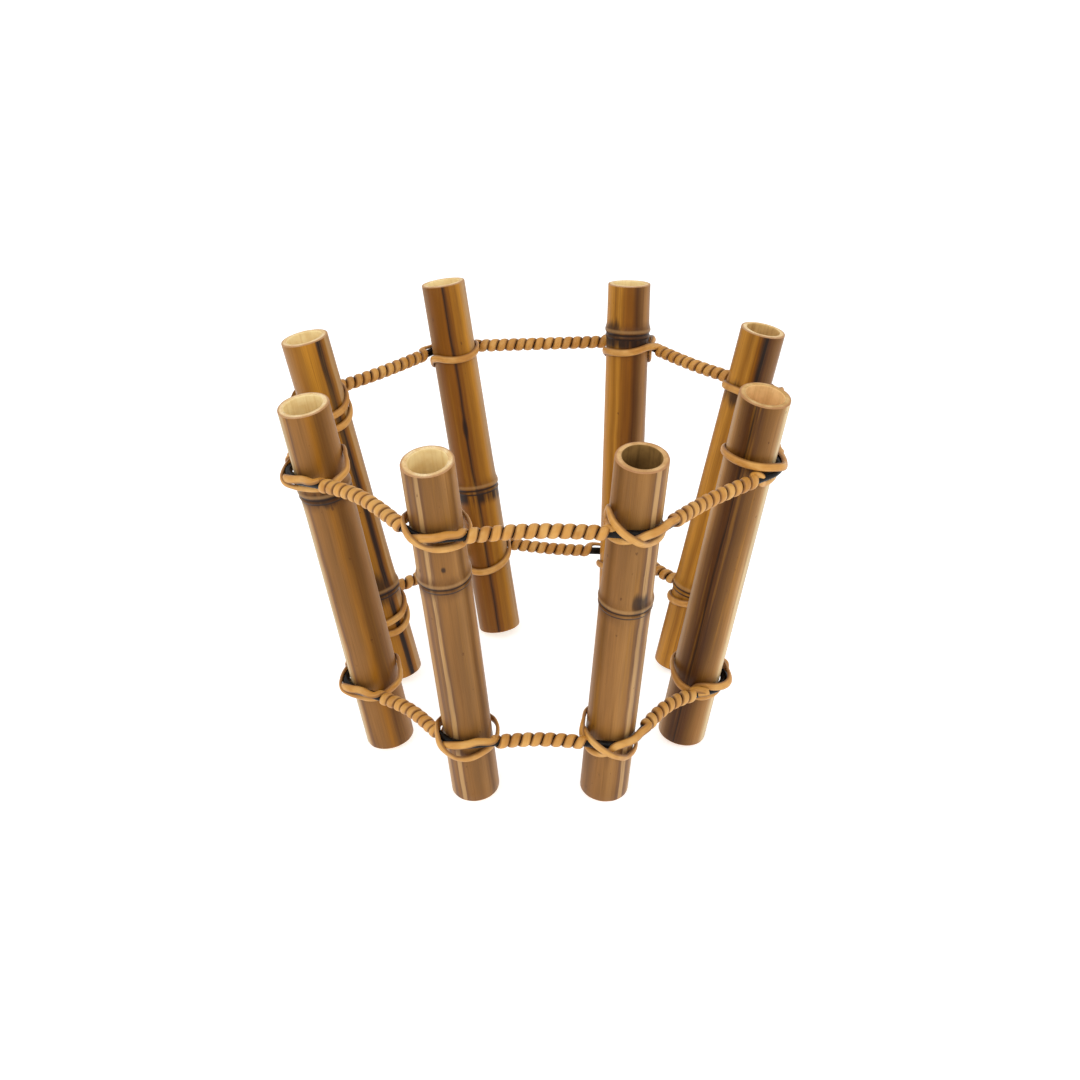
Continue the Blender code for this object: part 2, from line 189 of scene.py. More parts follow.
# The lashing of each hoop on each section; those left out are CROSSED.
LASHINGS = {
    ("upper", 1): ARRIVE_HIDDEN + BEHIND_LOW + (
        (130, -0.8, 2.4, 0), (115, -2.8, 3.0, 0), (100, -5.2, 2.8, 0), (84, -7.0, 2.2, 0),
        (62, -7.2, 1.6, 0), (40, -7.0, 1.6, 0), (19, -6.4, 2.2, -5), (8, -4.6, 3.8, -15),
        (-1, -1.2, 6.4, -15), (-7, 1.8, 7.6, 0), (-15, 3.2, 7.0, 10), (-24, 4.2, 5.8, 15),
        (-36, 4.8, 4.2, 10), (-54, 4.6, 2.6, 0),
    ) + TURN_BACK + (
        (-40, -4.6, 1.6, 0), (-26, -3.4, 3.2, -30),
        (-13, 0), (3, 30), (21, 44), (38, 58),
    ),
    ("upper", 2): ARRIVE_HIDDEN + BEHIND_FALLING + (
        (48, -6.0, 1.5, 0), (28, -6.2, 1.8, 0), (8, -5.8, 2.6, -5), (-8, -4.6, 4.4, -15),
        (-19, -1.8, 6.8, -15), (-29, 0.9, 7.8, -5), (-41, 3.0, 7.2, 5), (-55, 5.6, 6.2, 10),
        (-70, 7.4, 4.4, 10), (-84, 9.2, 2.9, 0), (-96, 8.0, 1.8, 0), (-105, 3.0, 1.6, 0),
        (-103, -2.4, 1.5, 0), (-88, -5.2, 1.4, 0), (-66, -5.8, 1.4, 0), (-48, -5.2, 1.6, 0),
        (-35, -3.9, 3.0, -35),
        (-22, -8), (-6, 26), (14, 42), (34, 58),
    ),
    ("upper", 3): (
        (-52, 0.4, 4.8, 0), (-47, -3.2, 3.4, -10), (-36, -4.8, 1.9, 0), (-15, -4.8, 1.4, 0),
        (12, -4.8, 1.4, 0), (40, -4.6, 1.4, 0), (70, -3.0, 1.4, 0), (100, -0.5, 1.4, 0),
        (130, 2.5, 1.4, 0), (160, 5.0, 1.4, 0), (-170, 7.0, 1.4, 0), (-148, 8.2, 1.8, 0),
        (-130, 8.8, 2.6, 0), (-110, 8.6, 3.2, 5), (-84, 7.8, 3.6, 10), (-58, 6.8, 3.9, 15),
        (-32, 5.6, 4.4, 20), (-12, 4.2, 5.2, 25),
        (8, 42), (26, 55), (42, 75),
    ),
    ("upper", 4): CROSSED_BEFORE + CROSSED_HIGH + CROSSED_AFTER,
    ("upper", 6): CROSSED_BEFORE + CROSSED_LEVEL + CROSSED_AFTER,
    ("upper", 7): DOUBLED,
    ("upper", 8): ARRIVE_HIDDEN + BEHIND_RISING + (
        (137, 7.0, 3.8, 0), (126, 3.8, 4.6, 0), (106, 0.6, 3.6, 0), (84, -2.6, 2.4, 0),
        (60, -3.6, 1.6, 0), (34, -4.4, 1.6, -5), (20, -4.0, 3.6, -15), (8, -2.2, 6.4, -15),
        (-3, -0.6, 6.6, 0), (-13, 0.4, 5.6, 10), (-25, 1.2, 4.4, 10), (-40, 2.0, 3.2, 0),
        (-58, 2.4, 2.4, 0),
    ) + TURN_BACK + (
        (-36, -5.0, 1.4, 0), (-20, -4.2, 2.2, -20), (-8, -3.4, 3.6, -40),
        (6, 0), (20, 30), (38, 52),
    ),
    ("lower", 1): ARRIVE_HIDDEN + BEHIND_LOW + (
        (130, 0.8, 2.4, 0), (116, -1.2, 3.0, 0), (100, -4.4, 2.8, 0), (80, -7.4, 1.8, 0),
        (54, -8.6, 1.6, 0), (24, -10.2, 2.4, -5), (4, -8.8, 4.2, -15), (-6, -5.2, 6.2, -15),
        (-12, -1.4, 7.6, 0), (-19, 0.8, 7.4, 10), (-27, 2.2, 6.2, 15), (-38, 3.8, 4.6, 10),
        (-54, 4.8, 2.8, 0),
    ) + TURN_BACK + (
        (-40, -5.0, 1.7, 0), (-26, -3.8, 3.2, -30),
        (-13, -6), (3, 22), (21, 42), (37, 60),
    ),
    ("lower", 2): (
        (-70, 1.0, 6.4, 30), (-87, 3.2, 4.6, 20), (-97, 5.6, 3.2, 10), (-109, 7.4, 1.9, 0),
        (-128, 7.8, 1.5, 0), (-155, 6.2, 1.4, 0), (178, 3.4, 1.4, 0), (150, -0.4, 1.4, 0),
        (122, -4.0, 1.4, 0), (96, -8.0, 1.4, 0), (72, -10.0, 1.4, 0), (46, -11.0, 1.6, 0),
        (24, -11.0, 2.0, 0), (6, -9.8, 3.2, -10), (-8, -6.4, 5.2, -15), (-21, -3.0, 7.0, -15),
        (-34, 0.4, 7.8, -5), (-50, 2.8, 6.8, 5), (-66, 3.6, 5.0, 5), (-82, 3.6, 3.0, 0),
        (-97, 1.4, 1.8, 0), (-103, -3.0, 1.5, 0), (-94, -6.6, 1.4, 0), (-72, -8.4, 1.4, 0),
        (-48, -8.0, 1.8, 0), (-32, -5.4, 3.4, -25),
        (-17, 28), (-2, 48), (16, 52), (34, 62),
    ),
    ("lower", 3): (
        (-58, 4.2, 7.6, 60), (-76, 3.8, 7.4, 40), (-98, 5.0, 6.2, 20), (-118, 7.2, 4.4, 10),
        (-136, 9.2, 2.8, 0), (-158, 10.0, 1.6, 0), (175, 9.4, 1.4, 0), (145, 8.2, 1.4, 0),
        (110, 7.2, 1.5, 0), (75, 6.4, 1.8, 0), (46, 5.6, 2.4, 0), (28, 4.8, 3.4, 10),
        (12, 3.8, 5.0, 30), (-4, 3.6, 6.0, 35), (-22, 4.0, 6.0, 30), (-40, 4.6, 5.2, 15),
        (-56, 4.6, 3.4, 5), (-70, 3.0, 1.8, 0), (-76, 0.0, 1.4, 0), (-70, -3.2, 1.4, 0),
        (-56, -4.6, 1.4, 0), (-36, -4.8, 1.4, 0), (-14, -4.8, 1.4, 0), (6, -4.8, 1.5, 0),
        (22, -4.6, 2.6, -30),
        (34, -40), (42, 20),
    ),
    ("lower", 6): CROSSED_BEFORE + CROSSED_LOW + CROSSED_AFTER,
    ("lower", 7): DOUBLED,
    ("lower", 8): ARRIVE_HIDDEN + BEHIND_RISING + (
        (137, 7.6, 3.8, 0), (124, 4.0, 4.6, 0), (102, 0.4, 3.4, 0), (80, -3.6, 2.0, 0),
        (54, -4.8, 1.6, 0), (32, -5.0, 1.7, -5), (18, -4.2, 3.8, -15), (6, -2.0, 6.2, -15),
        (-4, -0.4, 6.2, 0), (-14, 0.8, 5.2, 10), (-27, 1.8, 4.0, 10), (-54, 2.8, 2.4, 0),
    ) + TURN_BACK + (
        (-36, -5.0, 1.4, 0), (-20, -4.2, 2.2, -20), (-8, -3.4, 3.6, -40),
        (6, 0), (20, 28), (38, 52),
    ),
}


def srgb(red, green, blue):
    """Linear colour of a display colour given from 0 to 255."""
    channels = [c / 255 for c in (red, green, blue)]
    linear = [c / 12.92 if c <= 0.04045 else ((c + 0.055) / 1.055) ** 2.4 for c in channels]
    return (*linear, 1.0)


# ---------------------------------------------------------------- reading the frame

class Section:
    """Place and size of one bamboo section, read from its CAD node and foot mount."""

    def __init__(self, number, mounts):
        self.number = number
        self.name = f"bamboo_section_{number}"
        mount = mounts[f"foot_{number}"]
        self.axis = -Vector(mount["axis"]).normalized()
        axis = np.array(self.axis)
        points = np.array([v.co for v in frame["nodes"][self.name].data.vertices])
        points = np.unique(points.round(6), axis=0)
        along = points @ axis
        low = along.min()
        at_foot = along < low + FOOT_SLICE
        self.length = float(along.max() - low)
        self.foot = Vector(points[at_foot].mean(axis=0))
        out = Vector(mount["pos_m"]) - self.foot
        self.out = (out - self.axis * out.dot(self.axis)).normalized()
        self.side = self.axis.cross(self.out)
        offset = points - np.array(self.foot)
        reach = np.linalg.norm(offset - np.outer(offset @ axis, axis), axis=1)
        self.radius = float(reach[along < low + LOW_SLICE].max())
        self.bore = float(reach[at_foot].min())
        swollen = reach > self.radius + NODE_RISE
        self.node = float((along[swollen] - low).mean()) if swollen.any() else None

    def centre(self, height):
        """Point of the axis at a height above the floor."""
        return self.foot + self.axis * ((height - self.foot.z) / self.axis.z)

    def away(self, angle):
        """Direction away from the axis, turned to the right of the outermost line."""
        return self.out * cos(angle) + self.side * sin(angle)

    def level(self, away):
        """How far a level plane rises along the section from its axis to its skin."""
        return -away.z * self.radius / self.axis.z

    def matrix(self):
        """Local frame: X outward from the ring, Z along the section, origin at its foot."""
        turn = Matrix((self.out, self.side, self.axis)).transposed().to_4x4()
        return Matrix.Translation(self.foot) @ turn


# ---------------------------------------------------------------- shader building

class Graph:
    """A material's node tree with short calls for the nodes used here."""

    def __init__(self, name):
        self.material = bpy.data.materials.new(name)
        self.material.use_nodes = True
        self.tree = self.material.node_tree
        self.shader = self.tree.nodes["Principled BSDF"]
        self.place = self.node("ShaderNodeTexCoord").outputs["Object"]

    def node(self, kind, **settings):
        node = self.tree.nodes.new(kind)
        for key, value in settings.items():
            setattr(node, key, value)
        return node

    def put(self, socket, value):
        """Links a socket to another, or sets it to a constant."""
        if isinstance(value, bpy.types.NodeSocket):
            self.tree.links.new(value, socket)
        else:
            socket.default_value = value

    def stretch(self, scale, vector=None):
        node = self.node("ShaderNodeMapping")
        self.put(node.inputs["Vector"], vector or self.place)
        node.inputs["Scale"].default_value = scale
        return node.outputs["Vector"]

    def shift(self, vector, offset):
        node = self.node("ShaderNodeMapping")
        self.put(node.inputs["Vector"], vector)
        node.inputs["Location"].default_value = offset
        return node.outputs["Vector"]

    def noise(self, vector, scale, detail, rough=0.55):
        node = self.node("ShaderNodeTexNoise")
        self.put(node.inputs["Vector"], vector)
        node.inputs["Scale"].default_value = scale
        node.inputs["Detail"].default_value = detail
        node.inputs["Roughness"].default_value = rough
        return node.outputs["Fac"]

    def math(self, operation, first, second=0.0, third=0.0):
        node = self.node("ShaderNodeMath", operation=operation)
        for socket, value in zip(node.inputs, (first, second, third)):
            self.put(socket, value)
        return node.outputs["Value"]

    def from_middle(self, noise, amount, value):
        """Value moved by a noise, up and down by the same amount."""
        return self.math("MULTIPLY_ADD", self.math("SUBTRACT", noise, 0.5), amount, value)

    def distance(self, first, second):
        squares = [self.math("MULTIPLY", value, value) for value in (first, second)]
        return self.math("SQRT", self.math("ADD", *squares))

    def ramp(self, value, low, high, start=0.0, end=1.0):
        """Smooth step of value from start, at low, to end, at high."""
        node = self.node("ShaderNodeMapRange", interpolation_type="SMOOTHSTEP")
        names = ("Value", "From Min", "From Max", "To Min", "To Max")
        for name, number in zip(names, (value, low, high, start, end)):
            self.put(node.inputs[name], number)
        return node.outputs["Result"]

    def mix(self, share, first, second, kind="MIX"):
        """Mixes two colours, which are the node's inputs 6 and 7 and its output 2."""
        node = self.node("ShaderNodeMix", data_type="RGBA", blend_type=kind)
        self.put(node.inputs["Factor"], share)
        self.put(node.inputs[6], first)
        self.put(node.inputs[7], second)
        return node.outputs[2]

    def shade(self, colour, value):
        """Colour made darker or lighter by a factor."""
        node = self.node("ShaderNodeCombineColor")
        for socket in node.inputs:
            self.put(socket, value)
        return self.mix(1.0, colour, node.outputs[0], "MULTIPLY")

    def tones(self, turn, stops):
        """Colour round a section: turn runs from 0 to 1 as directions run from -180 to 180."""
        node = self.node("ShaderNodeValToRGB")
        self.put(node.inputs["Fac"], turn)
        elements = node.color_ramp.elements
        for degrees, tone in stops[1:-1]:
            elements.new((degrees + 180) / 360).color = TONES[tone]
        elements[0].color = TONES[stops[0][1]]
        elements[len(elements) - 1].color = TONES[stops[-1][1]]
        return node.outputs["Color"]

    def parts(self, vector=None):
        node = self.node("ShaderNodeSeparateXYZ")
        self.put(node.inputs[0], vector or self.place)
        return node.outputs

    def bump(self, height, strength, distance):
        node = self.node("ShaderNodeBump")
        node.inputs["Strength"].default_value = strength
        node.inputs["Distance"].default_value = distance
        self.put(node.inputs["Height"], height)
        self.put(self.shader.inputs["Normal"], node.outputs["Normal"])

    def finish(self, colour, roughness, specular):
        self.put(self.shader.inputs["Base Color"], colour)
        self.put(self.shader.inputs["Roughness"], roughness)
        self.shader.inputs["Specular IOR Level"].default_value = specular
        return self.material


# ---------------------------------------------------------------- bamboo materials

# Tones of the sections' skin.
TONES = {
    "cream": srgb(208, 182, 136),
    "pale": srgb(178, 138, 88),
    "gold": srgb(182, 124, 36),
    "tan": srgb(156, 110, 56),
    "ochre": srgb(150, 96, 16),
    "brown": srgb(136, 92, 42),
    "amber": srgb(126, 74, 4),
    "umber": srgb(112, 72, 24),
    "plum": srgb(108, 72, 42),
    "dark": srgb(80, 44, 8),
    "black": srgb(34, 16, 4),
}
# The tone in each direction round a section, in degrees to the right of the outermost line.
SKINS = {
    1: (
        (-180, "ochre"), (-110, "tan"), (-60, "tan"), (-40, "pale"), (-32, "tan"), (-26, "plum"),
        (-14, "brown"), (-8, "plum"), (-5, "pale"), (2, "pale"), (5, "plum"), (14, "brown"),
        (45, "brown"), (62, "tan"), (78, "umber"), (92, "tan"), (120, "tan"), (180, "ochre"),
    ),
    2: (
        (-180, "ochre"), (-110, "tan"), (-90, "brown"), (-76, "umber"), (-60, "brown"),
        (-42, "brown"), (-14, "tan"), (-2, "brown"), (6, "plum"), (9, "pale"), (19, "pale"),
        (22, "plum"), (34, "brown"), (42, "pale"), (60, "tan"), (120, "brown"), (180, "ochre"),
    ),
    3: (
        (-180, "tan"), (-150, "pale"), (-138, "tan"), (-124, "umber"), (-108, "dark"),
        (-98, "dark"), (-94, "black"), (-90, "dark"), (-80, "dark"), (-66, "umber"),
        (-50, "brown"), (-34, "tan"), (-24, "pale"), (-14, "cream"), (-4, "cream"),
        (10, "tan"), (60, "brown"), (120, "tan"), (180, "tan"),
    ),
    4: (
        (-180, "gold"), (-168, "gold"), (-152, "ochre"), (-138, "gold"), (-124, "amber"),
        (-116, "dark"), (-112, "black"), (-104, "black"), (-98, "dark"), (-80, "umber"),
        (-60, "brown"), (0, "tan"), (90, "brown"), (150, "ochre"), (180, "gold"),
    ),
    5: (
        (-180, "gold"), (-174, "ochre"), (-160, "amber"), (-146, "amber"), (-132, "dark"),
        (-116, "umber"), (-100, "tan"), (-60, "brown"), (30, "tan"), (110, "pale"),
        (130, "gold"), (155, "gold"), (170, "ochre"), (180, "gold"),
    ),
    6: (
        (-180, "ochre"), (-168, "ochre"), (-154, "gold"), (-136, "pale"), (-90, "tan"),
        (0, "brown"), (80, "tan"), (102, "brown"), (116, "amber"), (154, "amber"),
        (158, "dark"), (160, "black"), (163, "dark"), (168, "amber"), (176, "amber"),
        (180, "ochre"),
    ),
    7: (
        (-180, "pale"), (-150, "tan"), (-60, "brown"), (30, "tan"), (62, "tan"), (90, "ochre"),
        (118, "gold"), (140, "ochre"), (147, "black"), (155, "black"), (161, "amber"),
        (170, "ochre"), (175, "pale"), (180, "pale"),
    ),
    8: (
        (-180, "tan"), (-90, "brown"), (-10, "pale"), (6, "cream"), (16, "pale"), (24, "tan"),
        (29, "plum"), (38, "brown"), (64, "brown"), (82, "ochre"), (98, "umber"),
        (112, "umber"), (126, "brown"), (142, "tan"), (160, "tan"), (180, "tan"),
    ),
}
# Scorched patches of each section's skin: degrees to the right of the outermost line,
# millimetres up, and half width and half height in millimetres.
PATCHES = {
    1: ((30, 157, 1, 1.5),),
    2: ((8, 133, 4, 5),),
    4: ((-150, 172, 9, 7),),
    5: ((-205, 182, 7, 6),),
    6: ((160, 128, 1.6, 6),),
    7: ((110, 58, 8, 8),),
    8: ((80, 161, 12, 4),),
}
# Sections that are burnt just below their node, and the two dark rings of every node: height
# from the node and width.
BURNT_BELOW = (5, 6)
NODE_RINGS = ((-2.3 * MM, 0.5 * MM), (0.1 * MM, 0.6 * MM))


def skin_turn(graph, seeded, lines):
    """Direction round a section from 0 to 1, unsteady so that one tone runs into the next."""
    x, y, _ = graph.parts()
    wander = graph.noise(graph.stretch((0.2, 0.2, 1), seeded), 26, 2)
    turn = graph.math("MULTIPLY", graph.math("ARCTAN2", y, x), 1 / tau)
    turn = graph.from_middle(wander, 0.03, turn)
    turn = graph.from_middle(lines, 0.035, turn)
    return graph.math("FRACT", graph.math("ADD", turn, 0.5))


def scorched(graph, colour, bands, patch):
    """Colour with one scorched patch, ragged along the grain."""
    degrees, height, wide, tall = patch
    angle = radians(degrees)
    x, y, z = graph.parts()
    right = graph.math("MULTIPLY", x, -sin(angle) / (wide * MM))
    right = graph.math("MULTIPLY_ADD", y, cos(angle) / (wide * MM), right)
    up = graph.math("MULTIPLY_ADD", z, 1 / (tall * MM), -height / tall)
    reach = graph.from_middle(bands, 2.4, graph.distance(right, up))
    front = graph.math("MULTIPLY", x, cos(angle))
    front = graph.math("MULTIPLY_ADD", y, sin(angle), front)
    front = graph.math("GREATER_THAN", front, 0.0)
    scorch = graph.math("MULTIPLY", graph.ramp(reach, 0.5, 1.5, 0.85, 0), front)
    return graph.mix(scorch, colour, TONES["black"])


def with_node(graph, colour, section, broad, bands):
    """Colour with the growth node's scorching, its pale crest and its two dark rings."""
    away = graph.math("SUBTRACT", graph.parts()[2], section.node)
    scorch = graph.ramp(graph.math("ABSOLUTE", away), 0.5 * MM, 9 * MM, 1.0, 0.0)
    scorch = graph.math("MULTIPLY", scorch, graph.ramp(broad, 0.36, 0.6))
    colour = graph.mix(graph.math("MULTIPLY", scorch, 0.8), colour, TONES["dark"])
    if section.number in BURNT_BELOW:
        under = graph.math("ABSOLUTE", graph.math("ADD", away, 4.5 * MM))
        burnt = graph.ramp(under, 1 * MM, 6 * MM, 0.95, 0)
        burnt = graph.math("MULTIPLY", burnt, graph.ramp(bands, 0.3, 0.52))
        colour = graph.mix(burnt, colour, TONES["black"])
    crest = graph.math("ABSOLUTE", graph.math("SUBTRACT", away, 2.2 * MM))
    colour = graph.mix(graph.ramp(crest, 0.2 * MM, 1.4 * MM, 0.45, 0), colour, TONES["pale"])
    for offset, width in NODE_RINGS:
        ring = graph.math("ABSOLUTE", graph.math("SUBTRACT", away, offset))
        ring = graph.ramp(ring, 0.4 * width, 1.7 * width, 0.92, 0)
        colour = graph.mix(ring, colour, TONES["black"])
    return colour


def make_skin(section):
    """Outer skin: long grain over the section's tones, with its scorched patches and node."""
    graph = Graph(f"bamboo_skin_{section.number}")
    seeded = graph.shift(graph.place, (section.number * 3.7, section.number * 1.3, 0))
    broad = graph.noise(graph.stretch((1, 1, 0.16), seeded), 70, 3)
    bands = graph.noise(graph.stretch((1, 1, 0.03), seeded), 260, 4, 0.6)
    lines = graph.noise(graph.stretch((1, 1, 0.012), seeded), 900, 5, 0.65)
    fibres = graph.noise(graph.stretch((1, 1, 0.01), seeded), 3200, 3, 0.6)
    specks = graph.noise(graph.stretch((1, 1, 0.6), seeded), 420, 2, 0.4)
    colour = graph.tones(skin_turn(graph, seeded, lines), SKINS[section.number])
    light = graph.math("MULTIPLY_ADD", broad, 0.6, graph.math("MULTIPLY", bands, 0.4))
    colour = graph.shade(colour, graph.ramp(light, 0.3, 0.7, 0.78, 1.2))
    colour = graph.mix(graph.ramp(bands, 0.54, 0.76, 0, 0.5), colour, TONES["dark"])
    colour = graph.mix(graph.ramp(lines, 0.52, 0.76, 0, 0.5), colour, TONES["umber"])
    colour = graph.mix(graph.ramp(bands, 0.44, 0.26, 0, 0.35), colour, TONES["gold"])
    colour = graph.mix(graph.ramp(specks, 0.72, 0.78, 0, 0.6), colour, TONES["dark"])
    for patch in PATCHES.get(section.number, ()):
        colour = scorched(graph, colour, bands, patch)
    if section.node is not None:
        colour = with_node(graph, colour, section, broad, bands)
    colour = graph.shade(colour, graph.ramp(fibres, 0.35, 0.7, 0.9, 1.06))
    grain = graph.math("ADD", graph.math("MULTIPLY", lines, 0.7), fibres)
    graph.bump(grain, 0.22, 0.12 * MM)
    return graph.finish(colour, graph.ramp(bands, 0.3, 0.7, 0.36, 0.5), 0.2)


# Two colours of the sawn ends, by section.
CUTS = {
    "others": (srgb(238, 212, 164), srgb(222, 184, 126)),
    2: (srgb(214, 172, 116), srgb(190, 144, 88)),
    3: (srgb(214, 176, 116), srgb(190, 146, 84)),
}
CUT_FIBRE = srgb(150, 104, 58)
CUT_EDGE = srgb(166, 116, 76)


def make_cut(section):
    """The sawn ends: pale wall with darker fibre dots towards the skin."""
    graph = Graph(f"bamboo_cut_{section.number}")
    x, y, _ = graph.parts()
    reach = graph.distance(x, y)
    dots = graph.noise(graph.place, 2600, 2, 0.5)
    cloud = graph.noise(graph.place, 180, 3)
    colour = graph.mix(graph.ramp(cloud, 0.35, 0.65), *CUTS.get(section.number, CUTS["others"]))
    outer = graph.ramp(reach, section.radius - 1.4 * MM, section.radius - 0.1 * MM)
    outer = graph.math("MULTIPLY_ADD", outer, 0.5, 0.3)
    fibre = graph.math("MULTIPLY", graph.ramp(dots, 0.5, 0.64), outer)
    colour = graph.mix(fibre, colour, CUT_FIBRE)
    edge = graph.ramp(reach, section.radius - 1.5 * MM, section.radius - 0.3 * MM)
    colour = graph.mix(graph.math("MULTIPLY", edge, 0.8), colour, CUT_EDGE)
    graph.bump(dots, 0.35, 0.15 * MM)
    return graph.finish(colour, 0.7, 0.3)


# Two colours of the hollow's wall, by section. The darker pairs of sections 2 and 4 are painted
# shade deep inside their hollows.
BORE_TONES_AND_SHADE = {
    "others": (srgb(248, 226, 170), srgb(222, 186, 120)),
    2: (srgb(146, 110, 58), srgb(78, 54, 22)),
    3: (srgb(242, 200, 138), srgb(198, 152, 90)),
    4: (srgb(214, 176, 112), srgb(150, 106, 54)),
}


def make_bore(section):
    """Inside of the hollow: papery pith with fine lines along it."""
    graph = Graph(f"bamboo_bore_{section.number}")
    lines = graph.noise(graph.stretch((1, 1, 0.04)), 500, 4, 0.6)
    cloud = graph.noise(graph.place, 120, 3)
    near, far = BORE_TONES_AND_SHADE.get(section.number, BORE_TONES_AND_SHADE["others"])
    colour = graph.mix(graph.ramp(cloud, 0.3, 0.7), near, graph.mix(0.5, near, far))
    colour = graph.mix(graph.ramp(lines, 0.45, 0.75, 0, 0.5), colour, far)
    graph.bump(lines, 0.4, 0.2 * MM)
    return graph.finish(colour, 0.8, 0.2)


REED_GOLD = srgb(204, 146, 66)
REED_TAN = srgb(178, 120, 44)
REED_PALE = srgb(222, 174, 98)
REED_GRAIN = srgb(150, 98, 44)
# Painted shade for the strip's edges.
REED_EDGE_SHADE = srgb(110, 66, 22)


def make_reed_material():
    """Split reed: golden tan with fine grain along the strip, and painted shade darkening both
    its edges.
    """
    graph = Graph("reed")
    strip = graph.node("ShaderNodeUVMap", uv_map="strip").outputs["UV"]
    across = graph.parts(strip)[1]
    grain = graph.noise(graph.stretch((60, 1300, 1), strip), 1.0, 4, 0.6)
    broad = graph.noise(graph.stretch((45, 120, 1), strip), 1.0, 3)
    cloud = graph.noise(graph.place, 90, 3)
    colour = graph.mix(graph.ramp(broad, 0.35, 0.65), REED_GOLD, REED_TAN)
    colour = graph.mix(graph.ramp(cloud, 0.4, 0.7, 0, 0.5), colour, REED_PALE)
    colour = graph.mix(graph.ramp(grain, 0.5, 0.78, 0, 0.5), colour, REED_GRAIN)
    # Painted shade: both edges of the strip are darkened where it curves down to the core and
    # the next turn.
    edge = graph.ramp(graph.math("ABSOLUTE", across), 1.3 * MM, 2.2 * MM, 0, 0.8)
    colour = graph.mix(edge, colour, REED_EDGE_SHADE)
    graph.bump(grain, 0.3, 0.1 * MM)
    return graph.finish(colour, graph.ramp(grain, 0.3, 0.7, 0.38, 0.52), 0.4)


CORE_BLACK = srgb(14, 12, 11)
CORE_GREY = srgb(30, 25, 22)


def make_core_material():
    """Glossy black core, slightly uneven in colour and surface."""
    graph = Graph("hoop_core")
    cloud = graph.noise(graph.place, 400, 3)
    fine = graph.noise(graph.place, 2600, 2)
    colour = graph.mix(graph.ramp(cloud, 0.35, 0.7), CORE_BLACK, CORE_GREY)
    graph.bump(fine, 0.12, 0.1 * MM)
    return graph.finish(colour, graph.ramp(cloud, 0.3, 0.7, 0.24, 0.36), 0.12)


# ---------------------------------------------------------------- bamboo shape

# Order of a section's materials.
SKIN, CUT, PITH = range(3)
SKIN_TURNS = 96
SKIN_ROWS = 44
BORE_ROWS = 10
# A node's ridge, scar, groove and broad swelling, in mm: how far each stands out, its height
# from the node, and its width.
NODE_BUMPS = ((0.75, 1.9, 2.2), (0.45, -1.5, 0.6), (-0.35, 0.1, 0.7), (0.25, 0, 9))
# Rings close to a node: how many, how far they reach to either side, in mm, and how far the
# others keep away.
NODE_ROWS = 33
NODE_REACH = 6
NODE_CLEAR = 6.5
# The rim: the mouth's depth, its chamfer, and the profile from there out to the skin, as inset
# from the skin and depth below the cut, both in shares of RIM_ROUND.
RIM_ROUND = 0.5 * MM
RIM_PROFILE = ((2.2, 0), (1, 0.08), (0.35, 0.3), (0, 1.1))
MOUTH_DEPTH = 0.6 * MM
MOUTH_CHAMFER = 0.25 * MM
CUT_WOBBLE = 0.1 * MM
BORE_OVAL = 0.12 * MM
# The diaphragm: half its thickness, how far from its middle the wall starts, its dome, and its
# rings' shares of the bore.
PLATE_HALF = 1.2 * MM
PLATE_WALL = 2.4 * MM
PLATE_DOME = 0.5 * MM
PLATE_WALL_ROWS = 6
PLATE_SHARES = (0.02, 0.3, 0.6, 0.85)


def node_swell(section, height):
    """How far the skin stands out at a height because of the growth node."""
    if section.node is None:
        return 0.0
    away = height - section.node
    return sum(
        rise * MM * exp(-(((away - offset * MM) / (width * MM)) ** 2))
        for rise, offset, width in NODE_BUMPS
    )


def skin_radius(section, height, turn):
    """Radius of the skin: not quite round, slightly wavy, and swollen at the node."""
    seed = section.number * 1.7
    oval = 0.10 * MM * cos(2 * turn + seed) + 0.05 * MM * cos(3 * turn - 2 * seed)
    wave = 0.08 * MM * sin(height / (31 * MM) + seed) * cos(turn + seed)
    facets = 0.025 * MM * cos(11 * turn + 2 * sin(height / (60 * MM) + seed))
    return section.radius + oval + wave + facets + node_swell(section, height)


def skin_heights(section):
    """Heights of the skin's rings between its rims, from the top down."""
    heights = set(np.linspace(RIM_ROUND, section.length - RIM_ROUND, SKIN_ROWS).round(6))
    if section.node is not None:
        near = section.node + np.linspace(-NODE_REACH, NODE_REACH, NODE_ROWS) * MM
        heights = {h for h in heights if abs(h - section.node) > NODE_CLEAR * MM}
        heights |= set(near.round(6))
    return sorted(heights, reverse=True)[1:-1]


def ring(section, height, reach, wobble=0.0):
    """One ring of points, from its reach in every direction and an uneven height."""
    points = []
    for k in range(SKIN_TURNS):
        turn = tau * k / SKIN_TURNS
        level = height + wobble * cos(turn - section.number)
        points.append((reach(turn) * cos(turn), reach(turn) * sin(turn), level))
    return points


def skin_ring(section, height, inset=0.0, wobble=0.0):
    return ring(section, height, lambda turn: skin_radius(section, height, turn) - inset, wobble)


def bore_ring(section, height, chamfer=0.0, wobble=0.0):
    reach = section.bore + chamfer
    return ring(
        section, height, lambda turn: reach + BORE_OVAL * sin(2 * turn + section.number), wobble
    )


def rim_rows(section, end, inward, wobble):
    """Rows of one sawn end, from inside the bore out over the rim to the skin."""
    rows = [
        (bore_ring(section, end + inward * MOUTH_DEPTH, 0.0, wobble), PITH),
        (bore_ring(section, end, MOUTH_CHAMFER), CUT),
    ]
    for inset, depth in RIM_PROFILE:
        height = end + inward * depth * RIM_ROUND
        points = skin_ring(section, height, inset * RIM_ROUND, wobble)
        rows.append((points, CUT if inset else SKIN))
    return rows


def plate_rows(section, level, shares):
    """Rows of one face of the slightly domed diaphragm, with its rings in the given order."""
    rows = []
    for share in shares:
        reach = section.bore * share
        height = level - PLATE_DOME * (1 - share**2)
        rows.append((ring(section, height, lambda turn: reach), PITH))
    return rows


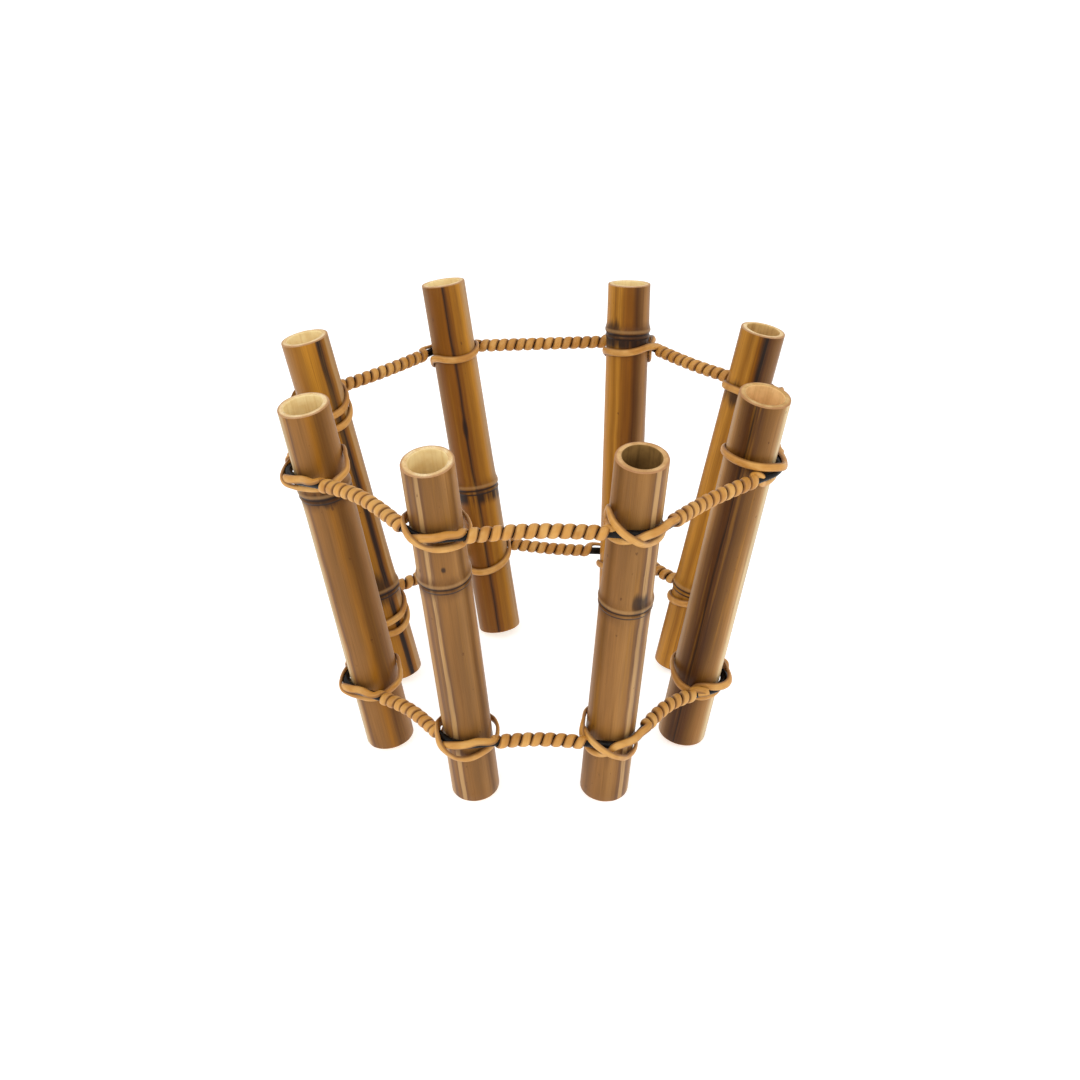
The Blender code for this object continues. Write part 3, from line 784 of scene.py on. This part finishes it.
def section_rows(section):
    """Every row from the upper side of the diaphragm, out over the rims, and back to it."""
    top, node = section.length, section.node
    rows = []
    if node is not None:
        rows += plate_rows(section, node + PLATE_HALF, PLATE_SHARES)
        depth = top - node - PLATE_WALL
        shares = [k / PLATE_WALL_ROWS for k in range(PLATE_WALL_ROWS)]
        rows += [(bore_ring(section, node + PLATE_WALL + depth * s), PITH) for s in shares]
    rows += rim_rows(section, top, -1, CUT_WOBBLE)
    rows += [(skin_ring(section, height), SKIN) for height in skin_heights(section)]
    rows += rim_rows(section, 0, 1, 0.0)[::-1]
    end = top if node is None else node - PLATE_WALL
    for k in range(1, BORE_ROWS):
        height = MOUTH_DEPTH + (end - 2 * MOUTH_DEPTH) * k / BORE_ROWS
        rows.append((bore_ring(section, height), PITH))
    if node is not None:
        rows.append((bore_ring(section, end), PITH))
        rows += plate_rows(section, node - PLATE_HALF, PLATE_SHARES[::-1])
    return rows


def mesh_data(name, mesh):
    """Mesh data made of a bmesh, with its faces pointing out."""
    bmesh.ops.recalc_face_normals(mesh, faces=mesh.faces)
    data = bpy.data.meshes.new(name)
    mesh.to_mesh(data)
    mesh.free()
    return data


def mesh_from_rows(name, rows, looped):
    """Surface over rows of points, joined end to start or closed by two caps.

    Where two rows have different materials, the band between them takes the higher one.
    """
    mesh = bmesh.new()
    rings = [[mesh.verts.new(p) for p in points] for points, _ in rows]
    slots = [slot for _, slot in rows]
    pairs = [(i, i + 1) for i in range(len(rings) - 1)]
    if looped:
        pairs.append((len(rings) - 1, 0))
    for first, second in pairs:
        for k in range(SKIN_TURNS):
            n = (k + 1) % SKIN_TURNS
            corners = (rings[first][k], rings[second][k], rings[second][n], rings[first][n])
            face = mesh.faces.new(corners)
            face.material_index = max(slots[first], slots[second])
            face.smooth = True
    if not looped:
        for end in (0, -1):
            mesh.faces.new(rings[end]).material_index = slots[end]
    return mesh_data(name, mesh)


def show(name, data, materials, node, place=Matrix.Identity(4)):
    """Links a finished piece that stands for a CAD node and rides on the ring."""
    piece = bpy.data.objects.new(name, data)
    bpy.context.scene.collection.objects.link(piece)
    piece.matrix_world = place
    for material in materials:
        data.materials.append(material)
    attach(piece, BODY)
    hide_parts(node)


def make_section(section):
    name = f"culm_{section.number}"
    data = mesh_from_rows(name, section_rows(section), section.node is None)
    materials = (make_skin(section), make_cut(section), make_bore(section))
    show(name, data, materials, section.name, section.matrix())


# ---------------------------------------------------------------- hoop route

def rounded(points):
    """The same run of points with its corner drawn out, its two ends kept."""
    for _ in range(ROUNDING_PASSES):
        inner = [(a + b * 2 + c) / 4 for a, b, c in zip(points, points[1:], points[2:])]
        points = [points[0]] + inner + [points[-1]]
    return points


def span_middle(start, end, lift, bulge):
    """Middle of the core between two sections' axes."""
    between = (start + end) / 2
    outward = Vector((between.x, between.y, 0)).normalized()
    return between + outward * bulge * MM + UP * (lift * MM)


def tangent_angle(middle, centre, reach, turn):
    """Direction, seen from a section's axis, where the core leaves for mid-span."""
    away = middle - centre
    return atan2(away.y, away.x) + turn * acos(reach / away.length)


def smooth_point(a, b, c, d, share):
    """Catmull-Rom point between b and c."""
    square = share * share
    cube = square * share
    return (
        b * (2 * cube - 3 * square + 1)
        + (c - a) * 0.5 * (cube - 2 * square + share)
        + c * (3 * square - 2 * cube)
        + (d - b) * 0.5 * (cube - square)
    )


class Hoop:
    """One hoop's core line, as on the CAD part, drawn as a smooth closed run."""

    def __init__(self, level, sections):
        heights, lifts, bulge = HOOPS[level]
        self.level = level
        self.sections = sections
        self.centres = [s.centre(h * MM) for s, h in zip(sections, heights)]
        nexts = self.centres[1:] + self.centres[:1]
        middles = [
            span_middle(start, end, lift, bulge)
            for start, end, lift in zip(self.centres, nexts, lifts)
        ]
        arcs = [self.arc(i, middles) for i in range(SECTION_COUNT)]
        points = []
        for arc, middle, following in zip(arcs, middles, arcs[1:] + arcs[:1]):
            steps = STRAIGHT_POINTS + 1
            span = [arc[-1].lerp(middle, k / steps) for k in range(steps)]
            span += [middle.lerp(following[0], k / steps) for k in range(steps + 1)]
            points += arc[:-1] + rounded(span)[:-1]
        count = len(points)
        self.per_section = count // SECTION_COUNT
        self.line = []
        for i in range(count):
            four = [points[(i + k) % count] for k in (-1, 0, 1, 2)]
            self.line += [smooth_point(*four, k / ROUTE_STEPS) for k in range(ROUTE_STEPS)]

    def arc(self, i, middles):
        """The core's points where it lies round section i, between its two spans."""
        section, centre = self.sections[i], self.centres[i]
        reach = section.radius + CORE_RADIUS + CORE_GAP
        first = tangent_angle(middles[i - 1].xy, centre.xy, reach, 1)
        last = tangent_angle(middles[i].xy, centre.xy, reach, -1)
        spread = (last - first) % tau
        angles = [first + spread * k / ARC_POINTS for k in range(ARC_POINTS + 1)]
        return [centre + Vector((cos(a), sin(a), 0)) * reach for a in angles]

    def outermost(self, i):
        """Number of the line's point in the middle of the arc round section i."""
        return (i * self.per_section + ARC_POINTS // 2) * ROUTE_STEPS

    def run(self, first, last):
        """The line's points from one number up to another, round the closed line."""
        return [self.line[k % len(self.line)] for k in range(first, last)]

    def span(self, i):
        """The core's points that are wound between section i and the next."""
        start, end = self.centres[i], self.centres[(i + 1) % SECTION_COUNT]
        chord = (end - start).normalized()
        first = self.outermost(i)
        run = self.run(first, first + self.per_section * ROUTE_STEPS + 1)
        after, before = WIND_ENDS.get((self.level, i + 1), WIND_ENDS["others"])
        low, high = after * MM, (end - start).length - before * MM
        return [p for p in run if low <= (p - start).dot(chord) <= high]


def distances(points):
    """Distance of every point of a run from its start, along the run."""
    steps = [(b - a).length for a, b in zip(points, points[1:])]
    return np.concatenate(([0.0], np.cumsum(steps)))


def even_run(points, count):
    """The same run resampled to count + 1 evenly spaced points."""
    marks = distances(points)
    wanted = np.linspace(0, marks[-1], count + 1)
    columns = [np.interp(wanted, marks, column) for column in np.array(points).T]
    return [Vector(p) for p in zip(*columns)]


def winding_frames(hoop, i):
    """Middle point and outer direction along the reed wound round one span."""
    span = hoop.span(i)
    count = round(float(distances(span)[-1]) / WIND_PITCH) * WIND_STEPS
    line = even_run(span, count)
    reach = CORE_RADIUS + WIND_GAP + WIND_THICKNESS / 2
    frames = []
    for k, point in enumerate(line):
        along = (line[min(k + 1, count)] - line[max(k - 1, 0)]).normalized()
        out = along.cross(UP).normalized()
        up = out.cross(along)
        angle = WIND_START + tau * k / WIND_STEPS
        wander = WIND_WANDER * sin(k * WIND_RHYTHM + i)
        normal = out * cos(angle) + up * sin(angle)
        frames.append((point + normal * reach + along * wander, normal))
    return frames


# ---------------------------------------------------------------- lashings

def lashing_place(section, centre, degrees, height, lift, tilt):
    """Middle point and outer direction of the strip at one row of a route."""
    away = section.away(radians(degrees))
    point = centre + away * (section.radius + lift * MM)
    point += section.axis * (section.level(away) + height * MM)
    lean = radians(tilt)
    return point, away * cos(lean) + section.axis * sin(lean)


def core_places(hoop, i):
    """Directions round a section, with the core's standoff and height above its plane."""
    section, centre = hoop.sections[i], hoop.centres[i]
    middle = hoop.outermost(i)
    reach = (ARC_POINTS // 2 + STRAIGHT_POINTS + 1) * ROUTE_STEPS
    places = []
    for point in hoop.run(middle - reach, middle + reach):
        offset = point - centre
        right, outward = offset.dot(section.side), offset.dot(section.out)
        turn = atan2(right, outward)
        lift = (right**2 + outward**2) ** 0.5 - section.radius
        height = offset.dot(section.axis) - section.level(section.away(turn))
        places.append((turn * 180 / pi, lift / MM, height / MM))
    return np.array(sorted(places)).T


def route_rows(hoop, i):
    """The rows of a lashing with those on the core worked out, turning without a jump."""
    degrees, lifts, heights = core_places(hoop, i)
    clear = (CORE_RADIUS + REED_GAP + REED_THICKNESS / 2) / MM
    rows = []
    for row in LASHINGS.get((hoop.level, i + 1), CROSSED):
        if len(row) == 2:
            turn, roll = row
            lift = np.interp(turn, degrees, lifts) + clear * cos(radians(roll))
            height = np.interp(turn, degrees, heights) + clear * sin(radians(roll))
            row = (turn, height, lift, roll)
        row = np.array(row, float)
        if rows:
            row[0] -= 360 * round((row[0] - rows[-1][0]) / 360)
        rows.append(row)
    return rows


def route_frames(hoop, i):
    """Fine run of frames through the rows of the lashing on section i."""
    section, centre = hoop.sections[i], hoop.centres[i]
    rows = route_rows(hoop, i)
    padded = [2 * rows[0] - rows[1]] + rows + [2 * rows[-1] - rows[-2]]
    frames = []
    for four in zip(padded, padded[1:], padded[2:], padded[3:]):
        for k in range(LASHING_STEPS):
            place = smooth_point(*four, k / LASHING_STEPS)
            frames.append(lashing_place(section, centre, *place))
    frames.append(lashing_place(section, centre, *rows[-1]))
    return frames


def joined(before, after):
    """Frames that carry the strip from the end of one run to the start of another."""
    (a, p), (d, q) = before[-1], after[0]
    gap = (d - a).length
    b = a + (a - before[-2][0]).normalized() * gap * JOIN_PULL
    c = d - (after[1][0] - d).normalized() * gap * JOIN_PULL
    frames = []
    for k in range(1, JOIN_STEPS):
        t = k / JOIN_STEPS
        s = 1 - t
        point = a * s**3 + b * 3 * s * s * t + c * 3 * s * t * t + d * t**3
        frames.append((point, p.lerp(q, t).normalized()))
    return frames


def reed_outline(width, thickness):
    """Half-round outline with soft lower corners, as across and outward offsets."""
    half, rise = width / 2, thickness / 2
    points = []
    for k in range(REED_SIDES):
        angle = pi * k / (REED_SIDES - 1)
        points.append((half * cos(angle), 2 * rise * sin(angle) ** REED_CROWN - rise))
    aside, below = REED_CORNER
    points[0] = (half * aside, rise * below)
    points[-1] = (-half * aside, rise * below)
    return [(-half * REED_FLAT, -rise), (half * REED_FLAT, -rise)] + points


def neighbours(frames, i, closed):
    """Points before and after a frame; an open end stands in for the one it lacks."""
    if closed:
        return frames[i - 1][0], frames[(i + 1) % len(frames)][0]
    return frames[max(i - 1, 0)][0], frames[min(i + 1, len(frames) - 1)][0]


def sweep(name, frames, outline, closed=False):
    """Solid strip of one outline along frames, with strip coordinates as its UVs."""
    mesh = bmesh.new()
    strip = mesh.loops.layers.uv.new("strip")
    marks = distances([point for point, _ in frames])
    rings = []
    for i, (point, outer) in enumerate(frames):
        before, after = neighbours(frames, i, closed)
        along = (after - before).normalized()
        outer = (outer - along * outer.dot(along)).normalized()
        across = outer.cross(along)
        rings.append([mesh.verts.new(point + across * x + outer * y) for x, y in outline])
    pairs = [(i, i + 1) for i in range(len(rings) - 1)]
    if closed:
        pairs.append((len(rings) - 1, 0))
    for first, second in pairs:
        for k in range(len(outline)):
            n = (k + 1) % len(outline)
            corners = ((first, k), (second, k), (second, n), (first, n))
            face = mesh.faces.new([rings[i][j] for i, j in corners])
            face.smooth = True
            for loop, (i, j) in zip(face.loops, corners):
                loop[strip].uv = (marks[i], outline[j][0])
    if not closed:
        mesh.faces.new(rings[0])
        mesh.faces.new(rings[-1][::-1])
    data = mesh_data(name, mesh)
    data.set_sharp_from_angle(angle=SHARP_EDGE)
    return data


def make_core(hoop, material):
    turns = [tau * k / CORE_SIDES for k in range(CORE_SIDES)]
    circle = [(CORE_RADIUS * cos(turn), CORE_RADIUS * sin(turn)) for turn in turns]
    node = f"{hoop.level}_hoop_core"
    data = sweep(node, [(point, UP) for point in hoop.line], circle, closed=True)
    show(f"{hoop.level}_core", data, [material], node)


def make_reed(hoop, material):
    """The reed of one hoop: the winding after every section, and the lashing on it.

    A lashing runs from the end of the winding before it to the start of the one after.
    """

    def show_strip(name, node, frames, outline):
        name = f"{hoop.level}_{name}"
        data = sweep(name, frames, outline)
        show(name, data, [material], f"{hoop.level}_{node}")

    windings = [winding_frames(hoop, i) for i in range(SECTION_COUNT)]
    wound = reed_outline(WIND_WIDTH, WIND_THICKNESS)
    tied = reed_outline(REED_WIDTH, REED_THICKNESS)
    for i, leaving in enumerate(windings):
        arriving, route = windings[i - 1], route_frames(hoop, i)
        lashing = arriving[-1:] + joined(arriving, route) + route
        lashing += joined(route, leaving) + leaving[:1]
        show_strip(f"coil_{i + 1}", f"winding_{i + 1}", leaving, wound)
        show_strip(f"tie_{i + 1}", f"lashing_{i + 1}", lashing, tied)


# ---------------------------------------------------------------- surroundings

def make_floor():
    bpy.ops.mesh.primitive_plane_add(size=FLOOR_SIZE, location=(0, 0, 0))
    floor = bpy.context.object
    floor.name = "floor"
    graph = Graph("floor")
    cloud = graph.noise(graph.place, 3, 2)
    colour = graph.mix(graph.ramp(cloud, 0.3, 0.7), *FLOOR_GREYS)
    graph.shader.inputs["Emission Color"].default_value = WHITE
    graph.shader.inputs["Emission Strength"].default_value = FLOOR_GLOW
    floor.data.materials.append(graph.finish(colour, 0.9, 0.0))


def make_world():
    world = bpy.data.worlds.new("studio")
    bpy.context.scene.world = world
    world.use_nodes = True
    inputs = world.node_tree.nodes["Background"].inputs
    inputs["Color"].default_value = WHITE
    inputs["Strength"].default_value = WORLD_STRENGTH


def make_light(name, place, size, power):
    data = bpy.data.lights.new(name, "AREA")
    data.size = size
    data.energy = power
    light = bpy.data.objects.new(name, data)
    bpy.context.scene.collection.objects.link(light)
    light.location = place
    light.rotation_euler = (AIM - Vector(place)).to_track_quat("-Z", "Y").to_euler()


def make_camera():
    data = bpy.data.cameras.new("camera")
    data.lens = CAMERA_LENS
    data.sensor_width = CAMERA_SENSOR
    camera = bpy.data.objects.new("camera", data)
    bpy.context.scene.collection.objects.link(camera)
    back = Vector((0, -cos(CAMERA_PITCH), sin(CAMERA_PITCH)))
    camera.location = AIM + back * CAMERA_DISTANCE
    camera.rotation_euler = (pi / 2 - CAMERA_PITCH, 0, 0)
    bpy.context.scene.camera = camera


def main():
    bpy.context.scene.view_settings.view_transform = "Standard"
    make_camera()
    make_world()
    for name, (place, size, power) in LIGHTS.items():
        make_light(name, place, size, power)
    make_floor()
    mounts = {m["name"]: m for m in frame["record"]["mounts"]}
    sections = [Section(i, mounts) for i in range(1, SECTION_COUNT + 1)]
    for section in sections:
        make_section(section)
    reed = make_reed_material()
    core = make_core_material()
    for level in HOOPS:
        hoop = Hoop(level, sections)
        make_core(hoop, core)
        make_reed(hoop, reed)


main()
